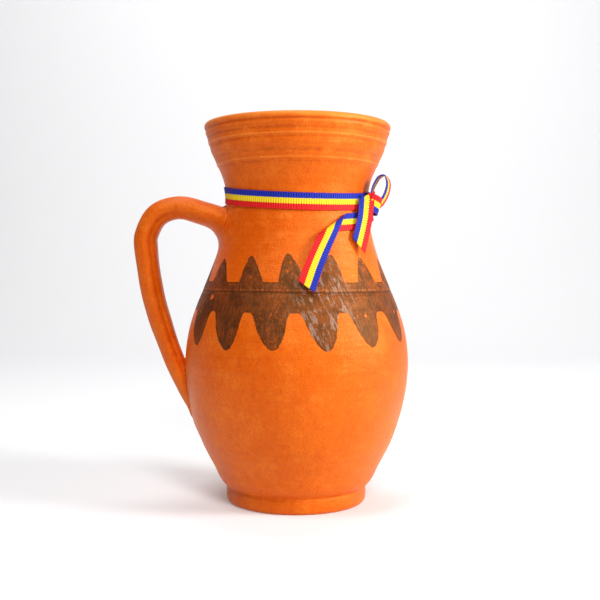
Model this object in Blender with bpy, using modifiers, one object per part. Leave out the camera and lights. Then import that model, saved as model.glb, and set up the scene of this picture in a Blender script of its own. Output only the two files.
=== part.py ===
"""Terracotta pitcher: a thrown body, a pulled handle and a ribbon tied round the neck.

Metres, +Z up.  The origin is the centre of the foot's underside, the handle points
along -X and the ribbon's knot sits at the right of the front, which faces -Y.
An azimuth is counted from the front (-Y) towards +X, in degrees.
"""
import math

import bmesh
import bpy
from mathutils import Matrix, Vector

# Pitcher body
HEIGHT = 0.235
WALL = 0.0055
LIP_RADIUS = WALL / 2
FLOOR_THICKNESS = 0.008
FLOOR_CORNER = 0.014
LIP_INSIDE_ANGLE = 180
LIP_OUTSIDE_ANGLE = 20
LIP_STEPS = 5
CORNER_START_ANGLE = -90
CORNER_END_ANGLE = -15
CORNER_STEPS = 3
TURN_STEPS = 48
CURVE_STEPS = 2
# Outer wall from the lip down to the foot groove, as (radius, height)
OUTER_WALL = [
    (0.0584, HEIGHT - LIP_RADIUS),
    (0.0535, 0.2160),
    (0.0468, 0.2010),
    (0.0443, 0.1870),
    (0.0462, 0.1690),
    (0.0511, 0.1510),
    (0.0589, 0.1310),
    (0.0668, 0.1090),
    (0.0697, 0.0860),
    (0.0668, 0.0614),
    (0.0586, 0.0360),
    (0.0446, 0.0108),
]
# Foot ring from the groove down to the resting face
FOOT_RING = [
    (0.0431, 0.0094),
    (0.0436, 0.0074),
    (0.0435, 0.0040),
    (0.0429, 0.0012),
    (0.0418, 0.0000),
]

# Handle: centre line as (x, height, half thickness), inside the neck to inside the belly
JOINT_GAP = 0.0003
WELD_DISTANCE = 0.00001
HANDLE_LINE = [
    (-0.0400, 0.1725, 0.0084),
    (-0.0584, 0.1788, 0.0076),
    (-0.0739, 0.1824, 0.0076),
    (-0.0872, 0.1782, 0.0075),
    (-0.0941, 0.1672, 0.0074),
    (-0.0949, 0.1560, 0.0073),
    (-0.0897, 0.1246, 0.0071),
    (-0.0784, 0.0906, 0.0064),
    (-0.0690, 0.0705, 0.0062),
    (-0.0560, 0.0440, 0.0040),
]
HANDLE_WIDTH_RATIO = 1.42
HANDLE_ROUND_STEPS = 4
HANDLE_SPAN_STEPS = 4

# Ribbon: one length of ribbon, tied in a half bow
RIBBON_WIDTH = 0.010
RIBBON_THICKNESS = 0.0008
BAND_HEIGHT = 0.1891
BAND_RISE = 0.0053
BAND_LOW_AZIMUTH = 15.0
# Neck radius that the band's rise is measured at
BAND_NECK_RADIUS = 0.0468
# The sleeve that the band is cut from, above and below its middle
SLEEVE_REACH = 0.017
SLEEVE_END_MARGIN = 0.001
SLAB_SPAN = 0.2
KNOT_AZIMUTH = 70.0
KNOT_RADIUS = 0.0489
KNOT_HEIGHT = 0.1850
KNOT_SIZE = (0.0052, 0.0072, 0.0100)
KNOT_ROUNDING = 0.0014
KNOT_ROUND_STEPS = 2
# Centre lines of the loose stretches; a wall point is (azimuth, height, stand-off)
LONG_ROOT_LINE = [
    (66.0, 0.1738, 0.0014),
    (52.0, 0.1732, 0.0013),
    (40.0, 0.1725, 0.0013),
    (27.0, 0.1722, 0.0013),
]
LONG_TAIL_LINE = [
    (25.5, 0.1716, 0.0030),
    (16.6, 0.1601, 0.0030),
    (11.3, 0.1497, 0.0028),
    (4.9, 0.1345, 0.0038),
]
SHORT_TAIL_LINE = [
    (0.0430, -0.0253, 0.1875),
    (0.0421, -0.0262, 0.1840),
    (0.0409, -0.0289, 0.1757),
    (0.0393, -0.0324, 0.1683),
    (0.0366, -0.0378, 0.1583),
]
SHORT_TAIL_FACING = 35.0
LOOP_LINE = [
    (0.0471, -0.0158, 0.1911),
    (0.0482, -0.0154, 0.1955),
    (0.0510, -0.0150, 0.2006),
    (0.0546, -0.0148, 0.2008),
    (0.0562, -0.0148, 0.1968),
    (0.0553, -0.0150, 0.1910),
    (0.0529, -0.0154, 0.1856),
]
LOOP_FACING = -75.0
STRIP_STEPS = 4

TERRACOTTA = (0.78, 0.22, 0.035)
RIBBON_BLUE = (0.02, 0.05, 0.45)
RIBBON_RED = (0.75, 0.01, 0.015)
CLAY_ROUGHNESS = 0.75
RIBBON_ROUGHNESS = 0.6
SHARP_ANGLE = 40


# ---------------------------------------------------------------- scene helpers
def clear_scene():
    """Remove whatever the file opened with."""
    for old in list(bpy.data.objects):
        bpy.data.objects.remove(old, do_unlink=True)


def make_collection(name):
    collection = bpy.data.collections.new(name)
    bpy.context.scene.collection.children.link(collection)
    return collection


def make_material(name, color, roughness):
    material = bpy.data.materials.new(name)
    material.use_nodes = True
    shader = material.node_tree.nodes["Principled BSDF"]
    shader.inputs["Base Color"].default_value = (*color, 1.0)
    shader.inputs["Roughness"].default_value = roughness
    shader.inputs["Metallic"].default_value = 0.0
    return material


def add_object(name, mesh, collection, material=None):
    part = bpy.data.objects.new(name, mesh)
    collection.objects.link(part)
    if material is not None:
        mesh.materials.append(material)
        mesh.shade_smooth()
        mesh.set_sharp_from_angle(angle=math.radians(SHARP_ANGLE))
    return part


def move_to(part, collection):
    """Keep a new primitive in one collection only."""
    for owner in list(part.users_collection):
        owner.objects.unlink(part)
    collection.objects.link(part)


def add_boolean(target, cutter, operation):
    modifier = target.modifiers.new("cut", "BOOLEAN")
    modifier.operation = operation
    modifier.object = cutter
    modifier.solver = "EXACT"


def hide_cutter(cutter):
    cutter.hide_render = True
    cutter.display_type = "WIRE"


# ---------------------------------------------------------------- curves
def smooth_line(points, steps):
    """Catmull-Rom curve through points of any dimension, steps samples a span."""
    ends = [2 * points[0] - points[1]] + list(points) + [2 * points[-1] - points[-2]]
    line = []
    for before, start, end, after in zip(ends, ends[1:], ends[2:], ends[3:]):
        for step in range(steps):
            t = step / steps
            line.append(0.5 * (2 * start + (end - before) * t
                               + (2 * before - 5 * start + 4 * end - after) * t ** 2
                               + (3 * start - before - 3 * end + after) * t ** 3))
    line.append(points[-1].copy())
    return line


OUTER_LINE = smooth_line([Vector((r, 0.0, z)) for r, z in OUTER_WALL], CURVE_STEPS)


def wall_radius(height):
    """Outer radius of the body at a height, along the straight runs of its profile."""
    for upper, lower in zip(OUTER_LINE, OUTER_LINE[1:]):
        if lower.z <= height <= upper.z:
            share = (height - lower.z) / (upper.z - lower.z)
            return lower.x + share * (upper.x - lower.x)
    raise ValueError("height is outside the wall")


def outward(azimuth):
    angle = math.radians(azimuth)
    return Vector((math.sin(angle), -math.cos(angle), 0.0))


def wall_point(azimuth, height, standoff):
    point = outward(azimuth) * (wall_radius(height) + standoff)
    point.z = height
    return point


# ---------------------------------------------------------------- turned shapes
def turned(name, profile, closed, collection, material=None):
    """Turn a profile of (radius, height) points about Z with a Screw modifier."""
    mesh = bpy.data.meshes.new(name)
    count = len(profile)
    edges = [(i, i + 1) for i in range(count - 1)]
    if closed:
        edges.append((count - 1, 0))
    mesh.from_pydata([(p.x, 0.0, p.z) for p in profile], edges, [])
    part = add_object(name, mesh, collection, material)
    screw = part.modifiers.new("turn", "SCREW")
    screw.axis = "Z"
    screw.steps = TURN_STEPS
    screw.render_steps = TURN_STEPS
    screw.use_merge_vertices = True
    screw.merge_threshold = 0.0001
    screw.use_smooth_shade = True
    return part


def arc(center, radius, start, end, steps):
    """Points of an arc in the profile plane, from angle start to end in degrees."""
    points = []
    for step in range(steps + 1):
        angle = math.radians(start + (end - start) * step / steps)
        points.append(center + radius * Vector((math.cos(angle), 0.0, math.sin(angle))))
    return points


def inner_line():
    """The inside of the pitcher, from the middle of its floor up to the lip."""
    wall = [Vector((p.x - WALL, 0.0, p.z)) for p in reversed(OUTER_LINE)]
    wall = [p for p in wall if FLOOR_THICKNESS + FLOOR_CORNER < p.z < HEIGHT - 2 * LIP_RADIUS]
    corner = Vector((wall[0].x - FLOOR_CORNER, 0.0, FLOOR_THICKNESS + FLOOR_CORNER))
    turn = arc(corner, FLOOR_CORNER, CORNER_START_ANGLE, CORNER_END_ANGLE, CORNER_STEPS)
    return [Vector((0.0, 0.0, FLOOR_THICKNESS))] + turn + wall


def build_body(parts):
    lip_center = Vector((OUTER_WALL[0][0] - LIP_RADIUS, 0.0, HEIGHT - LIP_RADIUS))
    lip = arc(lip_center, LIP_RADIUS, LIP_INSIDE_ANGLE, LIP_OUTSIDE_ANGLE, LIP_STEPS)
    foot = [Vector((r, 0.0, z)) for r, z in FOOT_RING]
    profile = inner_line() + lip + OUTER_LINE + foot + [Vector((0.0, 0.0, 0.0))]
    clay = make_material("terracotta_body", TERRACOTTA, CLAY_ROUGHNESS)
    return turned("pitcher_body", profile, False, parts, clay)


# ---------------------------------------------------------------- handle
def build_handle(parts, cutters):
    """A pulled strap: a tapered tube, widened along Y and cut back to the wall."""
    curve = bpy.data.curves.new("handle_line", "CURVE")
    curve.dimensions = "3D"
    curve.bevel_depth = 1.0
    curve.bevel_resolution = HANDLE_ROUND_STEPS
    curve.use_fill_caps = True
    curve.resolution_u = HANDLE_SPAN_STEPS
    spline = curve.splines.new("BEZIER")
    spline.bezier_points.add(len(HANDLE_LINE) - 1)
    for point, (x, z, half_thickness) in zip(spline.bezier_points, HANDLE_LINE):
        point.co = (x, 0.0, z)
        point.radius = half_thickness
        point.handle_left_type = "AUTO"
        point.handle_right_type = "AUTO"
    guide = bpy.data.objects.new("handle_guide", curve)
    cutters.objects.link(guide)
    bpy.context.view_layer.update()
    evaluated = guide.evaluated_get(bpy.context.evaluated_depsgraph_get())
    mesh = bpy.data.meshes.new_from_object(evaluated)
    mesh.name = "handle"
    bpy.data.objects.remove(guide, do_unlink=True)
    weld = bmesh.new()
    weld.from_mesh(mesh)
    bmesh.ops.remove_doubles(weld, verts=weld.verts, dist=WELD_DISTANCE)
    weld.to_mesh(mesh)
    weld.free()
    mesh.transform(Matrix.Diagonal((1.0, HANDLE_WIDTH_RATIO, 1.0, 1.0)))
    mesh.materials.clear()
    clay = make_material("terracotta_handle", TERRACOTTA, CLAY_ROUGHNESS)
    handle = add_object("handle", mesh, parts, clay)

    grown = [Vector((p.x + JOINT_GAP, 0.0, p.z)) for p in OUTER_LINE]
    solid = [Vector((0.0, 0.0, grown[0].z))] + grown + [Vector((0.0, 0.0, grown[-1].z))]
    core = turned("handle_cutter", solid, False, cutters)
    hide_cutter(core)
    add_boolean(handle, core, "DIFFERENCE")
    return handle


# ---------------------------------------------------------------- ribbon
def build_band(parts, cutters, material):
    """A sleeve that follows the neck, kept only where a tilted slab passes through it."""
    reach = SLEEVE_REACH - SLEEVE_END_MARGIN
    heights = [p.z for p in reversed(OUTER_LINE) if abs(p.z - BAND_HEIGHT) < reach]
    heights = [BAND_HEIGHT - SLEEVE_REACH] + heights + [BAND_HEIGHT + SLEEVE_REACH]
    inner = [Vector((wall_radius(z) + JOINT_GAP, 0.0, z)) for z in heights]
    outer = [p + Vector((RIBBON_THICKNESS, 0.0, 0.0)) for p in reversed(inner)]
    band = turned("ribbon_band", inner + outer, True, parts, material)

    bpy.ops.mesh.primitive_cube_add(size=1.0)
    slab = bpy.context.object
    slab.name = "band_slab"
    move_to(slab, cutters)
    slab.data.transform(Matrix.Diagonal((SLAB_SPAN, SLAB_SPAN, RIBBON_WIDTH, 1.0)))
    tilt = math.atan2(BAND_RISE, BAND_NECK_RADIUS)
    low_side = outward(BAND_LOW_AZIMUTH)
    hinge = Vector((0.0, 0.0, 1.0)).cross(low_side)
    slab.rotation_mode = "QUATERNION"
    slab.rotation_quaternion = Matrix.Rotation(tilt, 3, hinge).to_quaternion()
    slab.location = (0.0, 0.0, BAND_HEIGHT)
    hide_cutter(slab)
    add_boolean(band, slab, "INTERSECT")
    return band


def build_knot(parts, material):
    bpy.ops.mesh.primitive_cube_add(size=1.0)
    knot = bpy.context.object
    knot.name = "ribbon_knot"
    knot.data.name = "ribbon_knot"
    move_to(knot, parts)
    knot.data.transform(Matrix.Diagonal((*KNOT_SIZE, 1.0)))
    knot.data.materials.append(material)
    knot.location = outward(KNOT_AZIMUTH) * KNOT_RADIUS + Vector((0.0, 0.0, KNOT_HEIGHT))
    knot.rotation_euler = (0.0, 0.0, math.radians(KNOT_AZIMUTH - 90.0))
    bevel = knot.modifiers.new("rounding", "BEVEL")
    bevel.width = KNOT_ROUNDING
    bevel.segments = KNOT_ROUND_STEPS
    return knot


def build_strip(name, centers, acrosses, parts, material):
    """A flat length of ribbon along centers, acrosses being its unit width directions."""
    count = len(centers) - 1
    bpy.ops.mesh.primitive_grid_add(x_subdivisions=count, y_subdivisions=1, size=1.0)
    strip = bpy.context.object
    strip.name = name
    strip.data.name = name
    move_to(strip, parts)
    for vertex in strip.data.vertices:
        index = round((vertex.co.x + 0.5) * count)
        vertex.co = centers[index] + acrosses[index] * (vertex.co.y * RIBBON_WIDTH)
    strip.data.materials.append(material)
    shell = strip.modifiers.new("thickness", "SOLIDIFY")
    shell.thickness = RIBBON_THICKNESS
    shell.offset = 0.0
    shell.use_even_offset = True
    return strip


def wall_strip(name, line, parts, material):
    """A strip that follows the wall, lying parallel to it."""
    centers = [wall_point(*place) for place in smooth_line([Vector(p) for p in line], STRIP_STEPS)]
    acrosses = []
    for index, center in enumerate(centers):
        ahead = centers[min(index + 1, len(centers) - 1)]
        behind = centers[max(index - 1, 0)]
        normal = Vector((center.x, center.y, 0.0)).normalized()
        acrosses.append(normal.cross((ahead - behind).normalized()).normalized())
    return build_strip(name, centers, acrosses, parts, material)


def free_strip(name, line, facing, parts, material):
    """A strip that hangs or stands free, its face turned to one azimuth."""
    centers = smooth_line([Vector(p) for p in line], STRIP_STEPS)
    across = outward(facing + 90.0)
    return build_strip(name, centers, [across] * len(centers), parts, material)


def build_ribbon(parts, cutters):
    blue = make_material("ribbon_weave", RIBBON_BLUE, RIBBON_ROUGHNESS)
    red = make_material("ribbon_knot_weave", RIBBON_RED, RIBBON_ROUGHNESS)
    build_band(parts, cutters, blue)
    build_knot(parts, red)
    wall_strip("ribbon_long_root", LONG_ROOT_LINE, parts, blue)
    wall_strip("ribbon_long_tail", LONG_TAIL_LINE, parts, blue)
    free_strip("ribbon_short_tail", SHORT_TAIL_LINE, SHORT_TAIL_FACING, parts, blue)
    free_strip("ribbon_loop", LOOP_LINE, LOOP_FACING, parts, red)


def main():
    clear_scene()
    parts = make_collection("pitcher")
    cutters = make_collection("cutters")
    build_body(parts)
    build_handle(parts, cutters)
    build_ribbon(parts, cutters)


main()
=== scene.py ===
"""Looks of the terracotta pitcher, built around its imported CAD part.

Metres, +Z up.  An azimuth is counted in degrees from the front (-Y) towards +X.
"""

import math

import bpy
import numpy as np
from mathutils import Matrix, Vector
from mathutils.kdtree import KDTree


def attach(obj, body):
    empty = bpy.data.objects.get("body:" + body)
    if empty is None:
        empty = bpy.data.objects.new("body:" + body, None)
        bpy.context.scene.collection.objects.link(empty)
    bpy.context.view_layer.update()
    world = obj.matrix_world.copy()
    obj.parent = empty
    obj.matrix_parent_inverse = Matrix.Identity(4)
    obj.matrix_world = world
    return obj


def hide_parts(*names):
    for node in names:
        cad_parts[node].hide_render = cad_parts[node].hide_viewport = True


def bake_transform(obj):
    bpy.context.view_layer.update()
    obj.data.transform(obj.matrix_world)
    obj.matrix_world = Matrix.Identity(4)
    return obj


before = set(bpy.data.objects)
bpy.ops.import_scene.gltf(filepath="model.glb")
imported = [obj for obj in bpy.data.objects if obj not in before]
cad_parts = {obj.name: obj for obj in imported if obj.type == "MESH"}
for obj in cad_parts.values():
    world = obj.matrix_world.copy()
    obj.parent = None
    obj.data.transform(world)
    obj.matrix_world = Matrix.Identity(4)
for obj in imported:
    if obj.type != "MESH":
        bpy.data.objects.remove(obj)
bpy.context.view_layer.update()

MM = 0.001

# ---------------------------------------------------------------- thrown body
WALL = 0.0055
LIP_RADIUS = WALL / 2
LIP_ROWS = 9
LIP_UNEVENNESS = 0.000105
# How pale the lip is painted, partly wear and partly painted highlight, on the scale of a wheel mark's
# rise in mm, and where this starts
LIP_WEAR_AND_HIGHLIGHT = 0.30
LIP_WEAR_AND_HIGHLIGHT_FROM = 0.2312
FLOOR_THICKNESS = 0.008
INNER_CORNER_RADIUS = 0.0145
INNER_CORNER_Z = FLOOR_THICKNESS + INNER_CORNER_RADIUS
INNER_GROOVE = 0.00012
UNDERSIDE_RADIUS = 0.0410
FOOT_CHAMFER = 0.0004
TURN_STEPS = 336
# Rows round the foot's edge and groove, then the gap between rows further up
FOOT_LEVELS = [0.0, 0.0003, 0.0008, 0.0016, 0.0026, 0.0038, 0.0050, 0.0062, 0.0072, 0.0080, 0.0087,
               0.0093, 0.0098, 0.0104, 0.0112, 0.0122]
SLIP_ZONE = (0.0945, 0.1550)
SLIP_ZONE_STEP = 0.00080
COLLAR_FROM = 0.2040
COLLAR_STEP = 0.00055
PLAIN_STEP = 0.00150

# Marks left on the wheel, as (height, half width, rise) in mm: ridges and grooves
WHEEL_MARKS = [
    (230.4, 0.7, -0.30),
    (228.7, 0.7, 0.20),
    (225.6, 0.9, -0.22),
    (222.4, 0.7, 0.30),
    (220.4, 0.9, -0.18),
    (217.9, 1.3, 0.12),
    (213.2, 1.4, -0.18),
    (209.0, 0.7, 0.30),
    (206.9, 1.0, -0.14),
    (131.4, 0.5, -0.22),
    (129.9, 0.5, -0.22),
]

# ---------------------------------------------------------------- handle
# Centre line as (x, height, half thickness, half width)
HANDLE_LINE = [
    (-0.0400, 0.1725, 0.0084, 0.0175),
    (-0.0584, 0.1788, 0.0076, 0.0116),
    (-0.0739, 0.1824, 0.0076, 0.0108),
    (-0.0872, 0.1782, 0.0075, 0.0107),
    (-0.0941, 0.1672, 0.0074, 0.0105),
    (-0.0949, 0.1560, 0.0073, 0.0104),
    (-0.0897, 0.1246, 0.0071, 0.0101),
    (-0.0784, 0.0906, 0.0064, 0.0091),
    (-0.0690, 0.0705, 0.0062, 0.0088),
    (-0.0560, 0.0440, 0.0040, 0.0057),
]
# Finger grooves along it, as (angle round it, depth as a share of its thickness)
HANDLE_GROOVES = [(2.50, 0.070), (3.95, 0.035), (0.64, 0.060), (5.50, 0.035)]
GROOVE_WIDTH = 0.17
# How far its ends reach into the wall
HANDLE_DEPTH = 0.003
HANDLE_STEPS = 220
HANDLE_ROUND = 64
# How far the clay is smoothed into the crease round the handle, as (height, reach) in mm
CREASE_REACH = [(30, 5.0), (48, 6.0), (62, 3.0), (71, 1.2), (112, 1.2), (132, 8.0), (150, 13.0),
                (168, 13.0), (176, 8.0), (182, 2.8), (200, 2.8)]

# ---------------------------------------------------------------- slip band
# Tongues below as (tip azimuth, tip height), peaks above as (base azimuth, tip azimuth,
# tip height); heights in mm
COLUMN_PITCH = 360.0 / 14
# How far a tongue leans over, in degrees of azimuth for each mm of height
TONGUE_LEAN = 0.13
TONGUES = [
    (-59.5, 98.6), (-35.6, 97.5), (-11.0, 98.3), (14.8, 97.8), (40.1, 99.2), (66.0, 100.5),
    (91.9, 98.8), (117.2, 97.9), (143.3, 99.4), (168.6, 98.2), (194.5, 99.0), (220.4, 97.8),
    (246.1, 99.3), (272.2, 98.4),
]
PEAKS = [
    (-54.5, -57.6, 150.4), (-27.8, -31.2, 151.8), (-2.6, -5.8, 153.4), (21.5, 22.8, 152.6),
    (47.6, 46.9, 151.2), (74.2, 75.0, 150.8), (100.6, 98.5, 152.4), (126.3, 124.0, 151.0),
    (152.0, 150.6, 152.8), (178.2, 175.1, 151.5), (203.5, 202.0, 150.6), (229.2, 226.4, 152.2),
    (255.4, 253.0, 151.3), (280.6, 277.9, 152.0),
]
TONGUE_TOP = 119.3
# Half a tongue's outline as (share of its half width, share of its height)
TONGUE_OUTLINE = [(0, 0), (0.16, 0.05), (0.31, 0.18), (0.42, 0.31), (0.57, 0.57), (0.68, 0.84),
                  (0.84, 1), (1, 1)]
PEAK_BASE = 136.6
PEAK_HALF_WIDTH = 8.1
PEAK_ROUNDNESS = 1.8
# Radius of the belly in mm, to turn azimuths into lengths inside the band
BAND_RADIUS = 62.0
# Depth given to clay far from the slip
NO_SLIP = -9.0
# Places the slip missed or where it has worn away, as (azimuth, height mm, radius mm)
MISSED = [(-64.2, 118.4, 0.9), (38.5, 117.6, 1.0), (67.5, 118.6, 0.9), (-56.5, 127.4, 1.6),
          (104.0, 118.3, 0.9), (156.0, 126.0, 1.3), (205.0, 118.0, 0.8), (258.0, 119.0, 1.0)]

# Heights of the dark scratched line and of the pale one above it
DARK_LINE = 0.1307
PALE_LINE = 0.1321

# ---------------------------------------------------------------- ribbon
RIBBON_WIDTH = 0.010
RIBBON_THICKNESS = 0.00045
RIB_PITCH = 0.0015
RIB_HEIGHT = 0.00013
ROWS_PER_RIB = 6
STRIP_COLUMNS = 14

# Band round the neck: its ends' azimuths, its tilt and the length cut from the roll
BAND_ENDS = (73.0, -289.0)
BAND_HEIGHT = 0.1891
BAND_RISE = 0.0053
BAND_LOW_AZIMUTH = 15.0
BAND_STANDOFF = 0.0006
BAND_OVERLAP = 0.0008

# Long end: it runs ROOT_LENGTH from the knot at ROOT_ANGLE, is folded over itself on a line at
# FOLD_ANGLE, and hangs; angles in the plane of the unrolled wall
FOLD_AZIMUTH = 31.8
FOLD_HEIGHT = 0.1717
FOLD_ANGLE = 212.7
FOLD_RADIUS = 0.0018
ROOT_ANGLE = 185.5
ROOT_LENGTH = 0.0370
LONG_END_LENGTH = 0.0881
LONG_CUT_SLANT = 0.22

# Short end, loop and knot: centre lines, and the way the ribbon's width points along them
SHORT_LINE = [(0.0420, -0.0270, 0.1888), (0.0417, -0.0277, 0.1845), (0.0408, -0.0298, 0.1757),
              (0.0392, -0.0326, 0.1683), (0.0366, -0.0372, 0.1583)]
SHORT_ACROSS = [(-0.95, -0.31, 0.0), (-0.93, -0.37, 0.0), (-0.88, -0.47, 0.0),
                (-0.87, -0.48, 0.0), (-0.90, -0.44, 0.0)]
SHORT_START_SLANT = 0.65
SHORT_CUT_SLANT = -0.60

LOOP_LINE = [(0.0452, -0.0160, 0.1870), (0.0456, -0.0158, 0.1905), (0.0472, -0.0155, 0.1955),
             (0.0503, -0.0150, 0.2004), (0.0540, -0.0148, 0.2013), (0.0560, -0.0148, 0.1972),
             (0.0550, -0.0150, 0.1912), (0.0522, -0.0156, 0.1858), (0.0495, -0.0165, 0.1830)]
LOOP_ACROSS = [(-0.14 - 0.30 * i / 8, -0.99 + 0.08 * i / 8, 0.0) for i in range(9)]

KNOT_LINE = [(0.0420, -0.0262, 0.1852), (0.0450, -0.0260, 0.1848), (0.0482, -0.0236, 0.1834),
             (0.0502, -0.0190, 0.1822), (0.0496, -0.0135, 0.1820), (0.0472, -0.0088, 0.1826),
             (0.0463, -0.0045, 0.1836)]
KNOT_ACROSS = [(-0.10, 0.10, -1.0), (-0.15, 0.15, -1.0), (-0.25, 0.10, -0.95),
               (-0.30, 0.05, -0.95), (-0.25, 0.0, -0.97), (-0.15, 0.0, -0.99),
               (-0.05, 0.0, -1.00)]

# ---------------------------------------------------------------- stage, lights and camera
STAGE_COLOR = (0.72, 0.72, 0.73)
STAGE_GLOW = 0.14
STAGE_FRONT = -2.2
STAGE_HALF_WIDTH = 2.4
STAGE_TOP = 2.2
BEND_FROM = 0.9
BEND_RADIUS = 0.5
# The pitcher stands this far above the paper, so the two faces don't lie in one plane
STAGE_DROP = 0.0001
# Round area lights as (name, place, what they point at, size, power)
LIGHTS = [
    ("key", (1.12, -0.36, 0.60), (0.0, 0.0, 0.12), 0.50, 13.5),
    ("front", (0.24, -0.98, 0.84), (0.0, 0.0, 0.15), 0.34, 5.4),
    ("top", (-0.30, -0.45, 1.15), (0.0, 0.0, 0.15), 0.45, 4.5),
    ("wall", (0.0, 0.45, 1.50), (0.0, 1.40, 0.25), 0.90, 9.5),
]
SKY_STRENGTH = 0.06
CAMERA_PLACE = (0.0019, -0.5982, 0.1448)
CAMERA_ROLL = -0.23
CAMERA_SHIFT = -0.0533
SENSOR_WIDTH = 36.0
LENS = 57.0


# ---------------------------------------------------------------- curves
def eased(x, low, high):
    """Smoothstep from 0 at low to 1 at high."""
    t = np.clip((np.asarray(x, float) - low) / (high - low), 0.0, 1.0)
    return t * t * (3.0 - 2.0 * t)


def smooth_curve(xs, ys):
    """Cubic through points with rising xs that never overshoots; returns a function."""
    xs, ys = np.asarray(xs, float), np.asarray(ys, float)
    gap = np.diff(xs)
    slope = np.diff(ys) / gap
    tangent = np.empty_like(xs)
    tangent[0], tangent[-1] = slope[0], slope[-1]
    before, after = slope[:-1], slope[1:]
    share = gap[:-1] / (gap[:-1] + gap[1:])
    middle = before * (1.0 - share) + after * share
    limit = 3.0 * np.minimum(abs(before), abs(after))
    middle = np.where(before * after > 0, np.clip(middle, -limit, limit), 0.0)
    tangent[1:-1] = middle

    def curve(x):
        x = np.clip(np.asarray(x, float), xs[0], xs[-1])
        i = np.clip(np.searchsorted(xs, x, side="right") - 1, 0, len(gap) - 1)
        t = (x - xs[i]) / gap[i]
        return ((2 * t**3 - 3 * t**2 + 1) * ys[i] + (t**3 - 2 * t**2 + t) * gap[i] * tangent[i]
                + (3 * t**2 - 2 * t**3) * ys[i + 1] + (t**3 - t**2) * gap[i] * tangent[i + 1])

    return curve


def spline(points, count):
    """count evenly spaced samples of a smooth curve through points of any dimension."""
    points = np.asarray(points, float)
    padded = np.vstack([2 * points[0] - points[1], points, 2 * points[-1] - points[-2]])
    samples = []
    for i in range(len(points) - 1):
        p0, p1, p2, p3 = padded[i:i + 4]
        t = np.linspace(0.0, 1.0, 40, endpoint=False)[:, None]
        samples.append(0.5 * (2 * p1 + (p2 - p0) * t + (2 * p0 - 5 * p1 + 4 * p2 - p3) * t**2
                              + (3 * p1 - p0 - 3 * p2 + p3) * t**3))
    samples = np.vstack(samples + [points[-1:]])
    length = np.concatenate([[0.0], np.cumsum(np.linalg.norm(np.diff(samples[:, :3], axis=0), axis=1))])
    even = np.linspace(0.0, length[-1], count)
    return np.stack([np.interp(even, length, samples[:, k]) for k in range(points.shape[1])], 1)


def path_length(points):
    """Length of a line whose first three columns are positions."""
    return float(np.linalg.norm(np.diff(points[:, :3], axis=0), axis=1).sum())


def unit(vectors):
    return vectors / np.maximum(np.linalg.norm(vectors, axis=-1, keepdims=True), 1e-12)


# ---------------------------------------------------------------- the wall
def cad_outline():
    """Radius of the CAD body's outer wall by height, from the foot to the lip."""
    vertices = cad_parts["pitcher_body"].data.vertices
    corners = np.array([v.co for v in vertices])
    normals = np.array([v.normal for v in vertices])
    radius = np.hypot(corners[:, 0], corners[:, 1])
    faces_out = (corners[:, :2] * normals[:, :2]).sum(1) > 0.3 * radius
    outer = faces_out & (corners[:, 2] < corners[:, 2].max() - LIP_RADIUS + 0.00005)
    level = np.round(corners[outer, 2], 5)
    heights = np.unique(level)
    return heights, np.array([radius[outer][level == z].max() for z in heights])


OUTLINE_Z, OUTLINE_R = cad_outline()
outline = smooth_curve(OUTLINE_Z, OUTLINE_R)
LIP_BOTTOM = OUTLINE_Z[-1]


def wobble(azimuth, z):
    """The unevenness of a hand thrown wall, in metres."""
    a = np.radians(azimuth)
    body = (0.10 * np.sin(2 * a + 0.7 + 14 * z) + 0.07 * np.sin(3 * a - 1.1 - 22 * z)
            + 0.04 * np.sin(5 * a + 2.0 + 47 * z))
    under_ribbon = np.exp(-((z - BAND_HEIGHT) / 0.012) ** 2)
    return body * MM * eased(z, 0.0, 0.02) * (1.0 - 0.8 * under_ribbon)


def relief(azimuth, z):
    """Ridges and grooves of the wheel, which drift a little round the wall."""
    a = np.radians(azimuth)
    mm = z / MM
    drift = 0.25 * np.sin(a + 0.5) + 0.15 * np.sin(2 * a + 2.0)
    total = np.zeros(np.broadcast(azimuth, z).shape)
    for level, half_width, rise in WHEEL_MARKS:
        total += rise * np.exp(-((mm - level - drift) / half_width) ** 2)
    return total * MM


def wall(azimuth, z):
    """Outer radius of the pitcher."""
    return outline(z) + wobble(azimuth, z) + relief(azimuth, z)


def on_wall(azimuth, z, standoff):
    """Points at a height and azimuth, standoff outside the wall."""
    a = np.radians(azimuth)
    r = wall(azimuth, z) + standoff
    return np.stack([r * np.sin(a), -r * np.cos(a), z + 0 * r], -1)


# ---------------------------------------------------------------- how clay meets clay
HANDLE_PATH = spline(HANDLE_LINE, 400)


def outline_slope(z):
    return (outline(z + 0.0005) - outline(z - 0.0005)) / 0.001


def past_wall(points):
    """Signed distance of points outside the wall."""
    r = np.hypot(points[:, 0], points[:, 1])
    azimuth = np.degrees(np.arctan2(points[:, 0], -points[:, 1]))
    z = np.clip(points[:, 2], 0.001, LIP_BOTTOM)
    return (r - wall(azimuth, z)) / np.sqrt(1 + outline_slope(z) ** 2)


def past_handle(points):
    """Signed distance, about, of points outside the handle."""
    flat = points[:, [0, 2]]
    nearest = np.empty(len(points), int)
    for start in range(0, len(points), 4000):
        part = flat[start:start + 4000]
        gaps = ((part[:, None, :] - HANDLE_PATH[None, :, :2]) ** 2).sum(2)
        nearest[start:start + 4000] = gaps.argmin(1)
    line = HANDLE_PATH[nearest]
    across = np.linalg.norm(flat - line[:, :2], axis=1)
    half, wide = line[:, 2], line[:, 3]
    level = np.sqrt((across / half) ** 2 + (points[:, 1] / wide) ** 2)
    slope = np.sqrt((across / half**2) ** 2 + (points[:, 1] / wide**2) ** 2)
    slope = slope / np.maximum(level, 1e-6)
    return (level - 1) / np.maximum(slope, 1.0 / wide)


def melted(a, b, reach):
    """Smooth minimum of two distances."""
    h = np.maximum(reach - abs(a - b), 0.0) / reach
    return np.minimum(a, b) - h * h * reach / 4


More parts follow.
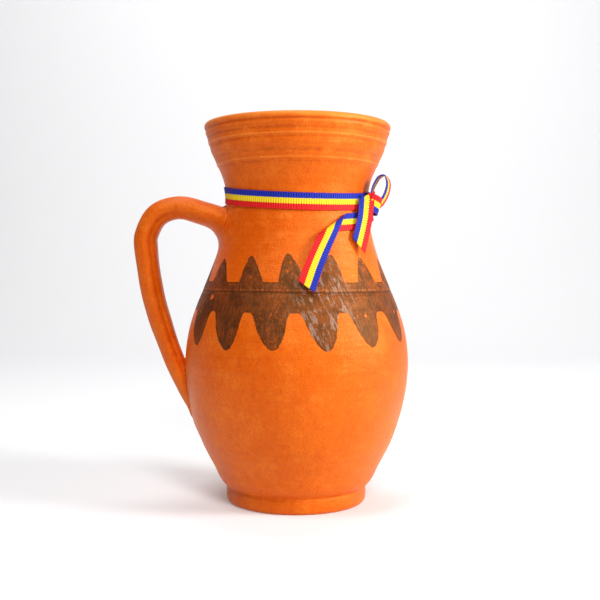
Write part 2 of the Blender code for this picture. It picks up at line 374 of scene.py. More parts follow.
def reach_at(z):
    """How far the crease is filled at a height."""
    table = np.array(CREASE_REACH, float) * MM
    return np.interp(z, table[:, 0], table[:, 1])


def fill_crease(points, normals, own, other):
    """Move points out along normals to the smoothed surface where the other clay is near."""
    moved = points.copy()
    gap = other(points)
    reach = reach_at(points[:, 2])
    near = (gap < reach * 1.05) & (gap > -reach)
    if not near.any():
        return moved
    p, n, k, g = points[near], normals[near], reach[near], gap[near]
    low, high = np.zeros(len(p)), k.copy()
    for _ in range(14):
        middle = (low + high) / 2
        q = p + n * middle[:, None]
        outside = melted(own(q), other(q), k) > 0
        high = np.where(outside, middle, high)
        low = np.where(outside, low, middle)
    fade = np.clip(g / (0.15 * k), 0.0, 1.0)
    moved[near] = p + n * (high * fade)[:, None]
    return moved


# ---------------------------------------------------------------- meshes
def mesh_object(name, points, faces, attributes=None, weave=None):
    """A smooth shaded object; attributes are values by point, weave is its flat layout."""
    mesh = bpy.data.meshes.new(name)
    mesh.from_pydata([tuple(p) for p in points], [], [tuple(f) for f in faces])
    mesh.update()
    for key, values in (attributes or {}).items():
        layer = mesh.attributes.new(key, "FLOAT", "POINT")
        layer.data.foreach_set("value", np.asarray(values, np.float32))
    if weave is not None:
        layer = mesh.uv_layers.new(name="weave")
        loops = np.empty(len(mesh.loops), np.int32)
        mesh.loops.foreach_get("vertex_index", loops)
        layer.data.foreach_set("uv", np.asarray(weave, np.float32)[loops].ravel())
    mesh.shade_smooth()
    made = bpy.data.objects.new(name, mesh)
    bpy.context.scene.collection.objects.link(made)
    return made


def grid_faces(rows, columns, closed):
    """Quads of a grid of rows by columns; closed joins the last column to the first."""
    last = columns if closed else columns - 1
    r, c = np.meshgrid(np.arange(rows - 1), np.arange(last), indexing="ij")
    a = (r * columns + c).ravel()
    b = (r * columns + (c + 1) % columns).ravel()
    return np.stack([a, b, b + columns, a + columns], 1)


# ---------------------------------------------------------------- slip band
def slip_outlines():
    """The band's lower and upper edges as lines of (azimuth, height mm)."""
    lower, upper = [], []
    shares = np.array(TONGUE_OUTLINE, float)
    fine = np.linspace(0, 1, 30)
    shape = smooth_curve(shares[:, 0], shares[:, 1])(fine)
    for turn in (-360, 0, 360):
        for tip, low in TONGUES:
            half = COLUMN_PITCH / 2
            for v, h in zip(np.concatenate([-fine[::-1], fine[1:]]),
                            np.concatenate([shape[::-1], shape[1:]])):
                z = low + (TONGUE_TOP - low) * h
                lower.append((turn + tip - TONGUE_LEAN * (z - low) + v * half, z))
        for base, tip, top in PEAKS:
            for v in np.linspace(-1, 1, 41):
                share = 1 - abs(v) ** PEAK_ROUNDNESS
                z = PEAK_BASE + (top - PEAK_BASE) * share
                upper.append((turn + base + (tip - base) * share + v * PEAK_HALF_WIDTH, z))
    return np.array(lower), np.array(upper)


def dense(line, scale):
    """Points every 0.25 mm along a line of (azimuth, height mm), azimuth scaled to mm."""
    flat = line * np.array([scale, 1.0])
    length = np.concatenate([[0], np.cumsum(np.linalg.norm(np.diff(flat, axis=0), axis=1))])
    even = np.arange(0, length[-1], 0.25)
    return np.stack([np.interp(even, length, flat[:, k]) for k in range(2)], 1)


def slip_depth(azimuth, mm):
    """Distance inside the slip band in mm, below 0 outside it."""
    lower, upper = slip_outlines()
    scale = math.radians(1.0) * BAND_RADIUS
    edge = np.vstack([dense(lower, scale), dense(upper, scale)])
    inside_range = abs(edge[:, 0]) < 200 * scale
    edge = edge[inside_range]
    tree = KDTree(len(edge))
    for i, (u, w) in enumerate(edge):
        tree.insert((u, w, 0.0), i)
    tree.balance()
    points = np.stack([azimuth * scale, mm], 1)
    depth = np.array([tree.find((u, w, 0.0))[2] for u, w in points])
    crossings = np.zeros(len(points), int)
    for line in (lower, upper):
        start, end = line[:-1], line[1:]
        near = (abs(start[:, 0]) < 200) | (abs(end[:, 0]) < 200)
        start, end = start[near], end[near]
        for first in range(0, len(points), 2000):
            a = azimuth[first:first + 2000, None]
            w = mm[first:first + 2000, None]
            spans = (start[None, :, 0] <= a) != (end[None, :, 0] <= a)
            share = (a - start[None, :, 0]) / np.where(end[:, 0] == start[:, 0], 1.0,
                                                       end[:, 0] - start[:, 0])[None]
            height = start[None, :, 1] + share * (end[:, 1] - start[:, 1])[None]
            crossings[first:first + 2000] += (spans & (height > w)).sum(1)
    signed = np.where(crossings % 2 == 1, depth, -depth)
    for spot, level, radius in MISSED:
        turn = (azimuth - spot + 180) % 360 - 180
        away = np.hypot(turn * scale, mm - level) - radius
        signed = np.minimum(signed, away)
    return signed


# ---------------------------------------------------------------- body
def outer_levels():
    """Heights of the outer wall's rows, closer together where there is more to show."""
    levels = list(FOOT_LEVELS)
    z = levels[-1]
    while z < LIP_BOTTOM - 0.0004:
        if SLIP_ZONE[0] < z < SLIP_ZONE[1]:
            step = SLIP_ZONE_STEP
        elif z > COLLAR_FROM:
            step = COLLAR_STEP
        else:
            step = PLAIN_STEP
        z += step
        levels.append(min(z, LIP_BOTTOM))
    return np.array(levels)


def lip_rows(azimuths):
    """The rounded lip, from the outer wall over to the inner one, as (radius, height)."""
    top_radius = wall(azimuths, np.full(TURN_STEPS, LIP_BOTTOM))
    rise = LIP_UNEVENNESS * np.sin(np.radians(azimuths) * 2 + 0.4)
    rows = []
    for angle in np.radians(np.linspace(20, 180, LIP_ROWS)):
        r = top_radius - LIP_RADIUS + LIP_RADIUS * math.cos(angle)
        z = LIP_BOTTOM + (LIP_RADIUS + rise) * math.sin(angle)
        rows.append(np.stack([r, z], -1))
    return rows


def inner_rows(azimuths):
    """The inner wall, the rounded corner below it and the floor, as (radius, height)."""
    rows = []
    for z in np.append(np.arange(LIP_BOTTOM - 0.003, 0.026, -0.0045), INNER_CORNER_Z):
        level = np.full(TURN_STEPS, z)
        groove = INNER_GROOVE * math.sin(z / 0.0016)
        r = outline(level) + 0.5 * wobble(azimuths, level) - WALL + groove
        rows.append(np.stack([r, level], -1))
    floor_radius = outline(INNER_CORNER_Z) - WALL - INNER_CORNER_RADIUS
    for angle in np.radians([20, 40, 60, 80, 90]):
        r = floor_radius + INNER_CORNER_RADIUS * math.cos(angle)
        z = INNER_CORNER_Z - INNER_CORNER_RADIUS * math.sin(angle)
        rows.append(np.tile([r, z], (TURN_STEPS, 1)))
    for share in (0.6, 0.25, 0.02):
        rows.append(np.tile([floor_radius * share, FLOOR_THICKNESS], (TURN_STEPS, 1)))
    return rows


def smoothed_to_handle(points, azimuths):
    """The outer wall's points, moved out where the clay is smoothed up to the handle."""
    flat = points.reshape(-1, 3)
    a = np.radians(azimuths).ravel()
    z = flat[:, 2]
    outward = unit(np.stack([np.sin(a), -np.cos(a), -outline_slope(z)], 1))
    side = (flat[:, 0] < -0.02) & (abs(flat[:, 1]) < 0.045) & (z > 0.025) & (z < 0.205)
    flat[side] = fill_crease(flat[side], outward[side], past_wall, past_handle)
    return flat.reshape(points.shape)


def build_body():
    """The thrown body, as rings from the middle of the underside out, up, over and down."""
    levels = outer_levels()
    azimuths = np.arange(TURN_STEPS) * 360.0 / TURN_STEPS
    azimuths = np.where(azimuths > 180, azimuths - 360, azimuths)
    grid_a, grid_z = np.meshgrid(azimuths, levels)
    radius = wall(grid_a, grid_z)
    radius[0] -= FOOT_CHAMFER
    under = [np.tile([0.0005, 0.0002], (TURN_STEPS, 1)),
             np.tile([UNDERSIDE_RADIUS, 0.0], (TURN_STEPS, 1))]
    profile = np.concatenate([under, np.stack([radius, grid_z], -1),
                              lip_rows(azimuths) + inner_rows(azimuths)])
    a = np.radians(azimuths)
    points = np.stack([profile[..., 0] * np.sin(a), -profile[..., 0] * np.cos(a),
                       profile[..., 1]], -1)
    outer = slice(len(under), len(under) + len(levels))
    points[outer] = smoothed_to_handle(points[outer], grid_a)

    slip = np.full(points.shape[:2], NO_SLIP)
    banded = np.where((levels > 0.090) & (levels < 0.160))[0]
    depth = slip_depth(grid_a[banded].ravel(), grid_z[banded].ravel() / MM)
    slip[banded + len(under)] = depth.reshape(len(banded), TURN_STEPS)

    # crest: the wheel marks' rise plus the lip's paleness; it drives painted highlight on ridges and
    # lip (partly wear) and painted shade in grooves
    crest = np.zeros(points.shape[:2])
    wear = LIP_WEAR_AND_HIGHLIGHT * eased(grid_z, LIP_WEAR_AND_HIGHLIGHT_FROM, LIP_BOTTOM)
    crest[outer] = relief(grid_a, grid_z) / MM + wear
    crest[outer.stop:outer.stop + LIP_ROWS] = LIP_WEAR_AND_HIGHLIGHT

    faces = grid_faces(points.shape[0], TURN_STEPS, True)
    return mesh_object("pitcher_body_clay", points.reshape(-1, 3), faces,
                       {"slip": slip.ravel(), "crest": crest.ravel()})


# ---------------------------------------------------------------- handle
def handle_flutes(length, angle):
    """Width of the handle as a share of its plain oval, with flats and finger grooves."""
    flute = 1 - 0.030 * np.exp(-((angle - math.pi / 2) / 0.28) ** 2) * eased(length, 0, 0.2)[:, None]
    flute = flute - 0.022 * np.exp(-((angle - 3 * math.pi / 2) / 0.3) ** 2)
    flute = flute + 0.018 * np.cos(6 * angle + 0.4)[None, :] * eased(length, 0.05, 0.3)[:, None]
    for centre, depth in HANDLE_GROOVES:
        across = np.abs((angle - centre + math.pi) % (2 * math.pi) - math.pi)
        pressed = eased(length, 0.08, 0.22) * (1 + 0.3 * np.sin(length * 17 + centre))
        flute = flute - depth * np.exp(-(across / GROOVE_WIDTH) ** 2)[None, :] * pressed[:, None]
    squeeze = 1 + 0.012 * np.sin(length * 23) + 0.010 * np.sin(length * 51 + 1)
    return flute * squeeze[:, None]


def build_handle():
    """The pulled handle, as rings along its centre line, closed at both ends."""
    line = spline(HANDLE_LINE, HANDLE_STEPS)
    ahead = unit(np.gradient(line[:, :2], axis=0))
    side_x, side_z = -ahead[:, 1, None], ahead[:, 0, None]
    half, half_width = line[:, 2, None], line[:, 3, None]
    angle = np.linspace(0, 2 * math.pi, HANDLE_ROUND, endpoint=False)
    flute = handle_flutes(np.linspace(0, 1, HANDLE_STEPS), angle)
    out = half * np.sin(angle) * flute
    points = np.stack([line[:, 0, None] + side_x * out, half_width * np.cos(angle) * flute,
                       line[:, 1, None] + side_z * out], -1)
    normal = np.stack([side_x * np.sin(angle) / half, np.cos(angle) / half_width,
                       side_z * np.sin(angle) / half], -1)
    flat = fill_crease(points.reshape(-1, 3), unit(normal.reshape(-1, 3)), past_handle, past_wall)
    deep = past_wall(flat) < -HANDLE_DEPTH
    azimuth = np.degrees(np.arctan2(flat[:, 0], -flat[:, 1]))
    keep = (wall(azimuth, flat[:, 2]) - HANDLE_DEPTH) / np.hypot(flat[:, 0], flat[:, 1])
    flat[deep, :2] *= keep[deep, None]
    faces = grid_faces(HANDLE_STEPS, HANDLE_ROUND, True).tolist()
    faces.append(list(range(HANDLE_ROUND))[::-1])
    faces.append([(HANDLE_STEPS - 1) * HANDLE_ROUND + i for i in range(HANDLE_ROUND)])
    return mesh_object("handle_clay", flat, faces, {"slip": np.full(len(flat), NO_SLIP)})


# ---------------------------------------------------------------- ribbon
def rib_phase(along):
    """1 on top of a rib, 0 in the valley between two."""
    return np.abs(np.cos(math.pi * along / RIB_PITCH)) ** 0.8


def strip_rows(length):
    """Rows of points that a strip needs for its ribs."""
    return max(8, int(round(length / RIB_PITCH * ROWS_PER_RIB)) + 1)


def edge_shape(across, along):
    """Across position in metres for shares -1 to 1: the edges bulge at every rib."""
    bulge = 0.00014 * rib_phase(along)[:, None] * np.abs(across[None, :]) ** 8
    return across[None, :] * (RIBBON_WIDTH / 2 - 0.00007) + np.sign(across)[None, :] * bulge


def build_strip(name, middle, along, across):
    """A thin closed strip on a grid of middle points (rows along, columns across)."""
    rows, columns = middle.shape[:2]
    normal = unit(np.cross(np.gradient(middle, axis=0), np.gradient(middle, axis=1)))
    half = RIBBON_THICKNESS / 2 - RIB_HEIGHT * 0.4 + RIB_HEIGHT * rib_phase(along)[:, None, None]
    top = (middle + normal * half).reshape(-1, 3)
    bottom = (middle - normal * half).reshape(-1, 3)
    count = rows * columns
    sheet = grid_faces(rows, columns, False)
    rim = np.concatenate([np.arange(columns), np.arange(1, rows) * columns + columns - 1,
                          (rows - 1) * columns + np.arange(columns - 2, -1, -1),
                          np.arange(rows - 2, 0, -1) * columns])
    after = np.roll(rim, -1)
    side = np.stack([rim, after, after + count, rim + count], 1)
    weave = np.stack([np.repeat(along / MM, columns), np.tile(across, rows)], 1)
    made = mesh_object(name, np.vstack([top, bottom]),
                       np.vstack([sheet[:, ::-1], sheet + count, side]), None,
                       np.vstack([weave, weave]))
    made.data.materials.append(RIBBON_CLOTH)
    made.data.set_sharp_from_angle(angle=math.radians(60))
    return made


def band_points():
    """The band round the neck, lifted where it passes over the handle's root."""
    across = np.linspace(-1, 1, STRIP_COLUMNS)
    start, end = np.radians(BAND_ENDS)
    radius = float(outline(BAND_HEIGHT)) + BAND_STANDOFF
    length = radius * abs(end - start)
    along = np.linspace(0, length, strip_rows(length))
    azimuth = np.degrees(start - along / radius)
    middle = BAND_HEIGHT - BAND_RISE * np.cos(np.radians(azimuth - BAND_LOW_AZIMUTH))
    overlap = BAND_OVERLAP * eased(along, length - 0.010, length)
    z = middle[:, None] + edge_shape(across, along)
    p = on_wall(azimuth[:, None] + 0 * z, z, BAND_STANDOFF + overlap[:, None])
    flat = p.reshape(-1, 3)
    outward = unit(flat * np.array([1.0, 1.0, 0.0]))
    close = (flat[:, 0] < -0.02) & (abs(flat[:, 1]) < 0.04)
    for _ in range(8):
        near = flat[close]
        gap = melted(past_wall(near), past_handle(near), reach_at(near[:, 2]))
        flat[close] += outward[close] * np.clip(BAND_STANDOFF - gap, 0, 0.001)[:, None]
    return flat.reshape(p.shape), along, across


def meridian():
    """Height by distance along the wall, counted from the fold's height."""
    z = np.linspace(0.10, 0.20, 400)
    r = outline(z)
    length = np.concatenate([[0], np.cumsum(np.hypot(np.diff(r), np.diff(z)))])
    length -= np.interp(FOLD_HEIGHT, z, length)
    return z, length


def direction(angle):
    """The unit vector at an angle in degrees, and the one a quarter turn clockwise from it."""
    c, s = math.cos(math.radians(angle)), math.sin(math.radians(angle))
    return np.array([c, s]), np.array([s, -c])


def long_end_points():
    """The long end: level from the knot, folded over itself, then down to its cut end."""
    across = np.linspace(-1, 1, STRIP_COLUMNS)
    along = np.linspace(0, LONG_END_LENGTH, strip_rows(LONG_END_LENGTH))
    w = edge_shape(across, along)
    slant = LONG_CUT_SLANT * w * eased(along, LONG_END_LENGTH - 0.012, LONG_END_LENGTH)[:, None]
    s = along[:, None] + slant - ROOT_LENGTH
    forward, up = direction(ROOT_ANGLE)
    flat = s[..., None] * forward + w[..., None] * up
    crease, beyond = direction(FOLD_ANGLE)
    if beyond @ forward < 0:
        beyond = -beyond
    # wrap what lies past the crease round it and back over the rest
    past = flat @ beyond
    turned = past / FOLD_RADIUS
    wrapped = np.where(past < 0, past, np.where(turned < math.pi, FOLD_RADIUS * np.sin(turned),
                                                -(past - math.pi * FOLD_RADIUS)))
    lift = np.where(past < 0, 0, np.where(turned < math.pi, FOLD_RADIUS * (1 - np.cos(turned)),
                                          2 * FOLD_RADIUS))
    u = (flat @ crease)[..., None] * crease + wrapped[..., None] * beyond
    # lay the flat strip on the wall, standing off it at the knot and along the hanging stretch
    hang = np.clip(-u[..., 1], 0, None)
    near_knot = 1 - eased(along, 0.0, 0.013)[:, None]
    stand = 0.0008 + 0.0024 * near_knot + lift
    stand = stand - 0.0010 * eased(hang, 0.003, 0.020) + 0.0010 * eased(hang, 0.026, 0.040)
    z_line, length = meridian()
    z = np.interp(u[..., 1], length, z_line) + 0.0040 * near_knot
    r = outline(z) + stand
    a = math.radians(FOLD_AZIMUTH) + u[..., 0] / r
    return np.stack([r * np.sin(a), -r * np.cos(a), z], -1), along, across


def free_strip(line, acrosses, start_slant=0.0, end_slant=0.0):
    """A hanging or standing strip: centre line points and width directions along it."""
    line, acrosses = np.asarray(line, float), np.asarray(acrosses, float)
    length = path_length(spline(line, 200))
    rows = strip_rows(length)
    both = spline(np.hstack([line, acrosses]), rows)
    along = np.linspace(0, length, rows)
    centre, side = both[:, :3], both[:, 3:]
    ahead = unit(np.gradient(centre, axis=0))
    side = unit(side - ahead * (side * ahead).sum(1, keepdims=True))
    across = np.linspace(-1, 1, STRIP_COLUMNS)
    w = edge_shape(across, along)
    cut = start_slant * w * (1 - eased(along, 0.0, 0.012))[:, None]
    cut = cut + end_slant * w * eased(along, length - 0.010, length)[:, None]
    middle = centre[:, None] + side[:, None] * w[..., None] + ahead[:, None] * cut[..., None]
    return middle, along, across


# ---------------------------------------------------------------- materials
class Graph:
    """A Principled material with short ways to add nodes."""

    def __init__(self, name):
        self.material = bpy.data.materials.new(name)
        self.material.use_nodes = True
        self.tree = self.material.node_tree
        self.shader = self.tree.nodes["Principled BSDF"]

    def node(self, kind, **settings):
        made = self.tree.nodes.new(kind)
        for key, value in settings.items():
            setattr(made, key, value)
        return made

    def feed(self, socket, value):
        if isinstance(value, bpy.types.NodeSocket):
            self.tree.links.new(value, socket)
        elif isinstance(value, (tuple, list)) and socket.type == "RGBA":
            socket.default_value = (*value[:3], 1.0)
        else:
            socket.default_value = value

    def math(self, operation, a, b=0.0, c=0.0, clamp=False):
        made = self.node("ShaderNodeMath", operation=operation, use_clamp=clamp)
        for socket, value in zip(made.inputs, (a, b, c)):
            self.feed(socket, value)
        return made.outputs[0]

    def noise(self, vector, scale, detail=3.0, roughness=0.55, distortion=0.0):
        made = self.node("ShaderNodeTexNoise")
        self.feed(made.inputs["Vector"], vector)
        made.inputs["Scale"].default_value = scale
        made.inputs["Detail"].default_value = detail
        made.inputs["Roughness"].default_value = roughness
        made.inputs["Distortion"].default_value = distortion
        return made.outputs["Fac"]

    def ramp(self, value, low, high, start=0.0, end=1.0):
        made = self.node("ShaderNodeMapRange", interpolation_type="SMOOTHSTEP")
        for name, item in (("Value", value), ("From Min", low), ("From Max", high),
                           ("To Min", start), ("To Max", end)):
            self.feed(made.inputs[name], item)
        return made.outputs["Result"]

    def times(self, a, b, clamp=False):
        return self.math("MULTIPLY", a, b, clamp=clamp)

    def plus(self, a, b):
        return self.math("ADD", a, b)

    def minus(self, a, b, clamp=False):
        return self.math("SUBTRACT", a, b, clamp=clamp)

    def away(self, a, b):
        """How far a is from b."""
        return self.math("ABSOLUTE", self.minus(a, b))

    def mix(self, share, a, b):
        made = self.node("ShaderNodeMix", data_type="RGBA")
        self.feed(made.inputs[0], share)
        self.feed(made.inputs[6], a)
        self.feed(made.inputs[7], b)
        return made.outputs[2]

    def tinted(self, color, share, strength, tint):
        """The colour, moved towards the tint by strength where share is 1."""
        return self.mix(self.times(share, strength), color, tint)

    def attribute(self, name):
        return self.node("ShaderNodeAttribute", attribute_name=name).outputs["Fac"]

    def xyz(self, vector):
        made = self.node("ShaderNodeSeparateXYZ")
        self.feed(made.inputs[0], vector)
        return made.outputs

    def stretched(self, vector, scale, tilt=0.0):
        """The vector scaled along each axis, after a turn by tilt about Y."""
        made = self.node("ShaderNodeMapping", vector_type="TEXTURE")
        self.feed(made.inputs["Vector"], vector)
        made.inputs["Scale"].default_value = [1.0 / part for part in scale]
        made.inputs["Rotation"].default_value = (0.0, tilt, 0.0)
        return made.outputs[0]

    def bump(self, height, distance, strength=1.0, normal=None):
        made = self.node("ShaderNodeBump")
        made.inputs["Strength"].default_value = strength
        made.inputs["Distance"].default_value = distance
        self.feed(made.inputs["Height"], height)
        if normal is not None:
            self.feed(made.inputs["Normal"], normal)
        return made.outputs[0]


def specks(g, place):
    """Small round dark grains, 1 inside them, gathered in a few places."""
    cells = g.node("ShaderNodeTexVoronoi")
    g.feed(cells.inputs["Vector"], place)
    cells.inputs["Scale"].default_value = 62.0
    rare = g.ramp(g.noise(place, 34.0, 1.0), 0.56, 0.62)
    edge = g.minus(cells.outputs["Distance"], g.times(rare, 0.028))
    return g.times(g.minus(1.0, g.ramp(edge, 0.0, 0.015)), rare)


def clay_color(g, place, mottle, speck):
    """Fired clay: large soft patches, finer mottling, what the wheel and wear left, and painted
    highlight on ridges and lip with painted shade in grooves.
    """
    patch = g.noise(place, 16.0, 3.0)
    grain = g.noise(place, 900.0, 2.0, 0.6)
    clay = g.mix(g.ramp(patch, 0.35, 0.68), (0.74, 0.130, 0.0025), (0.82, 0.170, 0.0080))
    clay = g.tinted(clay, g.ramp(mottle, 0.46, 0.68), 0.38, (0.92, 0.260, 0.030))
    clay = g.tinted(clay, g.ramp(grain, 0.35, 0.65), 0.34, (0.62, 0.075, 0.001))
    # darker blotches of fired earth, drawn out downwards
    blotch = g.noise(g.stretched(place, (330.0, 330.0, 170.0)), 1.0, 5.0, 0.70)
    clay = g.tinted(clay, g.ramp(blotch, 0.47, 0.68), 0.30, (0.56, 0.062, 0.001))
    # lines of the wheel in the colour
    streaks = g.noise(g.stretched(place, (9.0, 9.0, 420.0)), 1.0, 3.0, 0.6)
    clay = g.tinted(clay, g.ramp(streaks, 0.50, 0.75), 0.28, (0.66, 0.080, 0.001))
    # ridges and the lip are painted pale, partly wear and partly painted highlight; grooves get painted
    # shade
    crest = g.plus(g.attribute("crest"), g.times(g.minus(mottle, 0.5), 0.50))
    clay = g.tinted(clay, g.ramp(crest, 0.06, 0.34), 0.50, (0.95, 0.32, 0.06))
    # the dark tint in the grooves is painted shade
    clay = g.tinted(clay, g.ramp(crest, -0.05, -0.26), 0.50, (0.42, 0.045, 0.001))
    # pale flecks, dark specks and fine dots
    flecks = g.ramp(g.noise(place, 420.0, 2.0, 0.5), 0.70, 0.78)
    clay = g.tinted(clay, flecks, 0.35, (0.95, 0.38, 0.12))
    clay = g.tinted(clay, speck, 0.75, (0.16, 0.030, 0.008))
    dots = g.ramp(g.noise(place, 1500.0, 1.0, 0.5), 0.68, 0.72)
    return g.tinted(clay, dots, 0.55, (0.30, 0.045, 0.004))


def slip_cover(g, place, z, body):
    """How much slip hides the clay: all of it, but for upright scratches and pinholes."""
    upright = g.noise(g.stretched(place, (640.0, 640.0, 48.0)), 1.0, 3.0, 0.70)
    high_up = g.plus(g.times(g.ramp(z, 0.124, 0.142), 0.75), 0.20)
    patchy = g.noise(place, 55.0, 2.0)
    wear = g.times(g.times(g.ramp(upright, 0.55, 0.64), high_up), g.ramp(patchy, 0.36, 0.58))
    pinholes = g.ramp(g.noise(place, 700.0, 2.0, 0.5), 0.62, 0.68)
    pinholes = g.times(pinholes, g.ramp(patchy, 0.46, 0.60))
    worn = g.math("MAXIMUM", g.times(wear, 0.95), g.times(pinholes, 0.55))
    return g.times(g.ramp(body, -0.15, 0.25), g.minus(1.0, g.times(worn, 0.85)), clamp=True)


def slip_color(g, place, body, brushed, burnish_and_painted_sheen):
    """Brown slip: brushed on, thin at its edge, with a greyish painted sheen on its burnish strokes."""
    shade = g.noise(place, 110.0, 5.0, 0.65)
    paint = g.mix(g.ramp(shade, 0.36, 0.64), (0.088, 0.020, 0.0045), (0.190, 0.044, 0.0090))
    paint = g.tinted(paint, g.ramp(brushed, 0.50, 0.66), 0.50, (0.33, 0.075, 0.0120))
    paint = g.mix(g.ramp(body, 0.1, 1.2), (0.105, 0.022, 0.005), paint)
    # the greyish tint on the strokes is painted sheen, a painted highlight of the front lamp
    return g.tinted(paint, burnish_and_painted_sheen, 0.70, (0.275, 0.200, 0.185))


def burnish_and_painted_sheen_mask(g, place, x, y):
    """Tilted strokes left by a smooth stone, strongest at the right of the front, where the front
    lamp's highlight falls; they lower the roughness and carry a painted sheen.
    """
    stroke = g.noise(g.stretched(place, (430.0, 430.0, 62.0), tilt=-0.30), 1.0, 4.0, 0.68, 0.3)
    # centred round the front lamp's highlight, so the painted sheen sits where that light falls
    turn = g.math("ARCTAN2", x, g.times(y, -1.0))
    ahead = g.minus(1.0, g.away(turn, 0.27), clamp=True)
    where = g.plus(g.ramp(ahead, 0.58, 0.92), 0.10)
    return g.times(g.ramp(stroke, 0.51, 0.60), where, clamp=True)


def clay_material():
    """Clay and slip in one material; the slip attribute is the depth inside its outline."""
    g = Graph("terracotta_and_slip")
    place = g.node("ShaderNodeTexCoord").outputs["Object"]
    x, y, z = g.xyz(place)
    mottle = g.noise(place, 90.0, 4.0, 0.6)
    speck = specks(g, place)
    clay = clay_color(g, place, mottle, speck)

    depth = g.attribute("slip")
    body = g.plus(depth, g.times(g.minus(g.noise(place, 420.0, 3.0, 0.6), 0.5), 1.3))
    brushed = g.noise(g.stretched(place, (700.0, 700.0, 60.0)), 1.0, 3.0, 0.7)
    # burnish strokes: truly lower roughness, plus a painted sheen in the slip colour
    burnish_and_painted_sheen = burnish_and_painted_sheen_mask(g, place, x, y)
    cover = slip_cover(g, place, z, body)
    color = g.mix(cover, clay, slip_color(g, place, body, brushed, burnish_and_painted_sheen))

    # scratched double line round the band, drifting a little up and down
    level = g.plus(z, g.times(g.minus(g.noise(place, 12.0, 1.0), 0.5), 0.0010))
    banded = g.ramp(depth, -3.0, -1.0)
    line = g.times(g.minus(1.0, g.ramp(g.away(level, DARK_LINE), 0.0001, 0.0006)), banded)
    bright = g.times(g.minus(1.0, g.ramp(g.away(level, PALE_LINE), 0.0001, 0.0005)), banded)
    color = g.tinted(color, line, 0.60, (0.075, 0.018, 0.005))
    color = g.tinted(color, bright, g.ramp(brushed, 0.40, 0.60), (0.50, 0.120, 0.030))
    g.feed(g.shader.inputs["Base Color"], color)

    rough = g.times(g.ramp(mottle, 0.3, 0.7, 0.34, 0.46), g.minus(1.0, cover))
    painted = g.times(g.minus(0.52, g.times(burnish_and_painted_sheen, 0.22)), cover)
    g.feed(g.shader.inputs["Roughness"], g.plus(rough, painted))
    g.shader.inputs["Specular IOR Level"].default_value = 0.85
    g.shader.inputs["Specular Tint"].default_value = (1.0, 0.60, 0.24, 1.0)

    # broad and fine wheel lines, grit, pits, the thickness of the slip and the scratch
    broad = g.noise(g.stretched(place, (5.0, 5.0, 210.0)), 1.0, 2.0, 0.5)
    wheel = g.noise(g.stretched(place, (8.0, 8.0, 900.0)), 1.0, 3.0, 0.6)
    normal = g.bump(broad, 0.0008, 0.60)
    normal = g.bump(wheel, 0.00016, 0.4, normal)
    normal = g.bump(g.noise(place, 1100.0, 3.0, 0.6), 0.00042, 0.80, normal)
    normal = g.bump(g.noise(place, 260.0, 3.0, 0.6), 0.00050, 0.5, normal)
    normal = g.bump(speck, -0.0002, 0.5, normal)
    normal = g.bump(cover, 0.00010, 0.6, normal)
    normal = g.bump(line, -0.0004, 0.7, normal)
    g.feed(g.shader.inputs["Normal"], normal)
    return g.material


def ribbon_material():
    """Grosgrain: three stripes along it, ribs across it, with painted shade in the valleys."""
    g = Graph("striped_grosgrain")
    along, across, _ = g.xyz(g.node("ShaderNodeUVMap", uv_map="weave").outputs[0])
    rib = g.math("ABSOLUTE", g.math("COSINE", g.times(along, math.pi / (RIB_PITCH / MM))))
    # the stripes' borders jog at every rib
    place = g.plus(across, g.times(g.minus(rib, 0.6), 0.09))
    # each stripe colour has a lit and a shaded copy: painted light on the rib tops and painted shade in
    # the valleys
    lit = g.ramp(rib, 0.22, 0.95)
    blue = g.mix(lit, (0.001, 0.001, 0.050), (0.006, 0.040, 0.560))
    yellow = g.mix(lit, (0.66, 0.42, 0.004), (0.92, 0.73, 0.024))
    red = g.mix(lit, (0.50, 0.000, 0.002), (0.80, 0.014, 0.016))
    color = g.mix(g.ramp(place, -0.345, -0.320), red, yellow)
    color = g.mix(g.ramp(place, 0.320, 0.345), color, blue)
    selvedge = g.times(g.ramp(g.math("ABSOLUTE", across), 0.93, 0.98), g.minus(1.0, lit))
    color = g.tinted(color, selvedge, 0.65, (0.50, 0.004, 0.006))
    threads = g.node("ShaderNodeCombineXYZ")
    g.feed(threads.inputs[0], g.times(along, 2.2))
    g.feed(threads.inputs[1], g.times(across, 46.0))
    yarn = g.noise(threads.outputs[0], 1.0, 2.0, 0.6)
    color = g.tinted(color, g.ramp(yarn, 0.52, 0.75), 0.30, (0.02, 0.01, 0.03))
    color = g.tinted(color, g.ramp(yarn, 0.48, 0.25), 0.10, (1.0, 0.85, 0.75))
    g.feed(g.shader.inputs["Base Color"], color)
    g.shader.inputs["Roughness"].default_value = 0.62
    g.shader.inputs["Specular IOR Level"].default_value = 0.30
    g.shader.inputs["Sheen Weight"].default_value = 0.05
    g.shader.inputs["Sheen Roughness"].default_value = 0.4
    g.feed(g.shader.inputs["Normal"], g.bump(yarn, 0.00008, 0.5))
    return g.material


# ---------------------------------------------------------------- build the pitcher
CLAY = clay_material()
RIBBON_CLOTH = ribbon_material()

body = build_body()
handle = build_handle()
for piece, node in ((body, "pitcher_body"), (handle, "handle")):
    piece.data.materials.append(CLAY)
    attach(piece, "pitcher")
    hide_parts(node)

band = build_strip("ribbon_band_cloth", *band_points())
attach(band, "ribbon")
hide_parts("ribbon_band")

long_end = build_strip("ribbon_long_end_cloth", *long_end_points())
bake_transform(long_end)
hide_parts("ribbon_long_root", "ribbon_long_tail")

short_end = build_strip("ribbon_short_end_cloth",
                        *free_strip(SHORT_LINE, SHORT_ACROSS, SHORT_START_SLANT, SHORT_CUT_SLANT))
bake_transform(short_end)
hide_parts("ribbon_short_tail")

loop = build_strip("ribbon_loop_cloth", *free_strip(LOOP_LINE, LOOP_ACROSS))
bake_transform(loop)
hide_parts("ribbon_loop")

knot = build_strip("ribbon_knot_cloth", *free_strip(KNOT_LINE, KNOT_ACROSS))
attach(knot, "ribbon")
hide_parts("ribbon_knot")


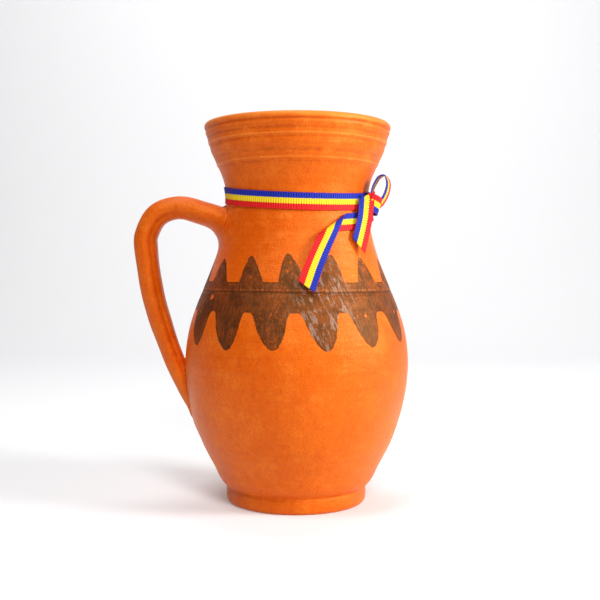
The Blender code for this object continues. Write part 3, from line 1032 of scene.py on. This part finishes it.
# ---------------------------------------------------------------- stage, lights and camera
def build_stage():
    """A pale sheet of paper: a floor that curves up into a wall well behind the pitcher."""
    profile = [(STAGE_FRONT, 0.0), (BEND_FROM, 0.0)]
    for angle in np.radians(np.linspace(10, 90, 12)):
        profile.append((BEND_FROM + BEND_RADIUS * math.sin(angle),
                        BEND_RADIUS - BEND_RADIUS * math.cos(angle)))
    profile.append((BEND_FROM + BEND_RADIUS, STAGE_TOP))
    columns = np.linspace(-STAGE_HALF_WIDTH, STAGE_HALF_WIDTH, 9)
    points = [(x, y, z - STAGE_DROP) for y, z in profile for x in columns]
    stage = mesh_object("stage", points, grid_faces(len(profile), len(columns), False))
    g = Graph("white_paper")
    g.feed(g.shader.inputs["Base Color"], STAGE_COLOR)
    g.feed(g.shader.inputs["Emission Color"], (1.0, 1.0, 1.0))
    g.shader.inputs["Roughness"].default_value = 0.9
    g.shader.inputs["Emission Strength"].default_value = STAGE_GLOW
    stage.data.materials.append(g.material)


def area_light(name, place, target, size, power):
    """A round light that points at its target."""
    lamp = bpy.data.lights.new(name, "AREA")
    lamp.shape = "DISK"
    lamp.size = size
    lamp.energy = power
    made = bpy.data.objects.new(name, lamp)
    made.location = place
    made.rotation_mode = "QUATERNION"
    made.rotation_quaternion = (Vector(place) - Vector(target)).to_track_quat("Z", "Y")
    bpy.context.scene.collection.objects.link(made)


build_stage()
for settings in LIGHTS:
    area_light(*settings)

world = bpy.data.worlds.new("sky")
world.use_nodes = True
sky = world.node_tree.nodes["Background"]
sky.inputs["Color"].default_value = (1.0, 1.0, 1.0, 1.0)
sky.inputs["Strength"].default_value = SKY_STRENGTH
scene = bpy.context.scene
scene.world = world
scene.view_settings.view_transform = "Standard"
scene.view_settings.look = "Medium High Contrast"

camera_data = bpy.data.cameras.new("camera")
camera_data.sensor_width = SENSOR_WIDTH
camera_data.lens = LENS
camera_data.shift_y = CAMERA_SHIFT
camera_data.clip_start = 0.01
camera = bpy.data.objects.new("camera", camera_data)
camera.location = CAMERA_PLACE
camera.rotation_euler = (math.radians(90.0), math.radians(CAMERA_ROLL), 0.0)
scene.collection.objects.link(camera)
scene.camera = camera
